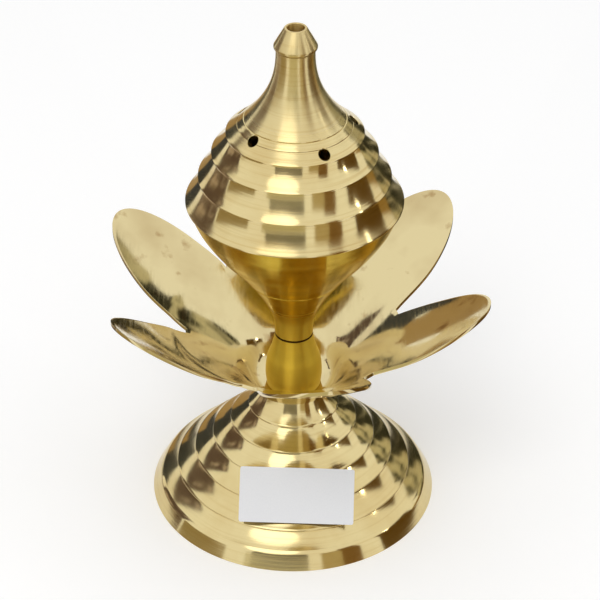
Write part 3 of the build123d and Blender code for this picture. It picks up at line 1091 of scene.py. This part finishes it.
@dataclass
class Studio:
    """A pale floor, even white surroundings, a softbox, a small lamp, toned cards and the camera."""

    floor_size: float = 3.0
    floor_tone: str = "#FBFBFB"
    floor_roughness: float = 0.9
    floor_sheen: float = 0.1
    floor_glow: float = 0.12
    world_range: Values = (0.0, 1.0, 0.79, 1.0)
    eye_mm: Place = (0.0, -441.0, 354.8)
    aim_mm: Place = (1.4, 0.0, 54.7)
    roll: float = 0.45
    lens: float = 134.4
    clip: Point = (0.01, 20.0)
    # Two sheets of one softbox, so that its light falls off to the edge, and a small lamp that gives glints.
    lamps: tuple[Lamp, ...] = (
        Lamp("softbox_edge", -21.0, 52.0, (0.58, 0.62), 0.88),
        Lamp("softbox_middle", -21.0, 52.0, (0.42, 0.48), 1.1),
        Lamp("glint_lamp", 82.0, 26.0, (0.06, 0.06), 0.12),
    )
    lamp_distance: float = 0.96
    lamp_aim: float = 0.07
    card_distances: Point = (0.06, 1.1)
    card_steps: int = 8
    card_lift: float = 0.001
    dapple_size: float = 0.24
    dapple_range: Values = (0.52, 0.62, 0.0, 1.0)
    cards: tuple[Card, ...] = (
        Card("card_table", (-36.0, 12.0), (0.0, 18.0), "#D2CAA8"),
        Card("card_front", (-32.0, 12.0), (19.0, 40.0), "#949084"),
        Card("card_mid_right", (22.0, 38.0), (0.0, 34.0), "#C8B68C"),
        Card("card_right", (38.0, 53.0), (0.0, 41.0), "#8A6A3E"),
        Card("card_far_right", (70.0, 106.0), (0.0, 30.0), "#6A5024"),
        Card("card_side_right", (106.0, 122.0), (0.0, 9.0), "#A88A50"),
        Card("card_back_right", (120.0, 158.0), (0.0, 29.0), "#3A392C", "#D9D2B4"),
        Card("card_left", (-92.0, -52.0), (0.0, 16.0), "#A8966E"),
        Card("card_far_left", (-126.0, -94.0), (0.0, 36.0), "#6A5A56", "#C9BAB2"),
        Card("card_back_left", (-149.0, -134.0), (0.0, 31.0), "#484A4E"),
        Card("card_behind_left", (-162.0, -149.0), (0.0, 22.0), "#B89C70"),
    )

    @staticmethod
    def way(azimuth: float, elevation: float = 0.0) -> Vector:
        """Gives the way out at an azimuth from the camera's side towards +X and an elevation, in degrees."""
        turn, rise = math.radians(azimuth), math.radians(elevation)
        return Vector((math.sin(turn) * math.cos(rise), -math.cos(turn) * math.cos(rise), math.sin(rise)))

    def floor(self) -> None:
        """Lays the pale floor."""
        mesh = bmesh.new()
        bmesh.ops.create_grid(mesh, x_segments=1, y_segments=1, size=self.floor_size / 2)
        matt = {"Roughness": self.floor_roughness, "Specular IOR Level": self.floor_sheen}
        tones = {"Base Color": linear(self.floor_tone), "Emission Color": WHITE}
        material, node, shader = new_material("pale_floor", matt | tones)
        glow = node("Math", {"operation": "MULTIPLY", 1: self.floor_glow}, {0: seen_rays(node)})
        feed(shader, {"Emission Strength": glow})
        show_mesh(mesh, "floor", material)

    def card_material(self, card: Card) -> Material:
        """Builds a card's matt material.

        Args:
            card: the card, with its tones.

        Returns:
            The material.
        """
        tone = linear(card.tone)
        matt = {"Base Color": tone, "Roughness": 1.0, "Specular IOR Level": 0.0}
        material, node, shader = new_material(card.name, matt)
        if card.dapple:
            spot = node("TexCoord").outputs["Object"]
            spots = node("TexNoise", {"Scale": 1 / self.dapple_size, "Detail": 1.0}, {"Vector": spot})
            amount = node("MapRange", dict(zip(RANGE, self.dapple_range)), {"Value": spots})
            tint = node("Mix", {"data_type": "RGBA", 6: tone, 7: linear(card.dapple)}, {0: amount})
            feed(shader, {"Base Color": tint})
        return material

    def card(self, card: Card) -> None:
        """Stands one card up where only reflections see it. One that starts at the floor runs along it first.

        Args:
            card: its place and tones.
        """
        left, right = card.azimuths
        way = self.way(left)
        near, far = self.card_distances
        lift = Vector((0, 0, self.card_lift))
        low, high = (Vector((0, 0, far * math.tan(math.radians(level)))) for level in card.levels)
        goals = [way * far + low, way * far + high]
        if low.z < lift.z:
            goals = [way * near + lift, way * far + lift, way * far + high]
        mesh = bmesh.new()
        tip = mesh.verts.new(goals[0])
        for goal in goals[1:]:
            tip = bmesh.ops.extrude_vert_indiv(mesh, verts=[tip])["verts"][0]
            tip.co = goal
        bmesh.ops.spin(
            mesh, geom=mesh.verts[:] + mesh.edges[:], cent=(0, 0, 0), axis=(0, 0, 1),
            angle=math.radians(right - left), steps=self.card_steps,
        )
        stand = show_mesh(mesh, card.name, self.card_material(card))
        stand.visible_camera = stand.visible_diffuse = False
        stand.visible_shadow = stand.visible_transmission = False
        LOG.info("%s: %.0f to %.0f degrees", card.name, left, right)

    def light(self) -> None:
        """Lights the table: white all round, a softbox above the camera and a small lamp at the side."""
        world = bpy.data.worlds.new("white_room")
        bpy.context.scene.world = world
        world.use_nodes = True
        world.node_tree.nodes.clear()
        node = partial(add_node, world.node_tree)
        strength = node("MapRange", dict(zip(RANGE, self.world_range)), {"Value": seen_rays(node)})
        sky = node("Background", {"Color": WHITE}, {"Strength": strength})
        node("OutputWorld", links={"Surface": sky})
        aim = Vector((0, 0, self.lamp_aim))
        for lamp in self.lamps:
            data = bpy.data.lights.new(lamp.name, "AREA")
            data.shape, data.energy = "ELLIPSE", lamp.energy
            data.size, data.size_y = lamp.size
            way = self.way(lamp.azimuth, lamp.elevation)
            box = show(data)
            box.location = aim + way * self.lamp_distance
            box.rotation_mode = "QUATERNION"
            box.rotation_quaternion = (-way).to_track_quat("-Z", "Y")
            LOG.info("%s: %.2f W", lamp.name, lamp.energy)

    def camera(self) -> None:
        """Sets the camera at the photograph's angle."""
        data = bpy.data.cameras.new("camera")
        data.lens = self.lens
        data.clip_start, data.clip_end = self.clip
        eye = show(data)
        eye.location = Vector(self.eye_mm) * MM
        eye.rotation_mode = "QUATERNION"
        look = (Vector(self.aim_mm) * MM - eye.location).to_track_quat("-Z", "Y")
        eye.rotation_quaternion = look @ Quaternion((0, 0, 1), math.radians(self.roll))
        bpy.context.scene.camera = eye

    def build(self) -> None:
        """Builds the stage."""
        self.floor()
        for card in self.cards:
            self.card(card)
        self.light()
        self.camera()
        bpy.context.scene.view_settings.view_transform = "Standard"


def main() -> None:
    """Builds the holder and its stage."""
    logging.basicConfig(level=logging.INFO, format="%(name)s: %(message)s")
    for assembly in (Stand(), Lotus(), Burner(), Lid(), Studio()):
        assembly.build()


if __name__ == "__main__":
    main()
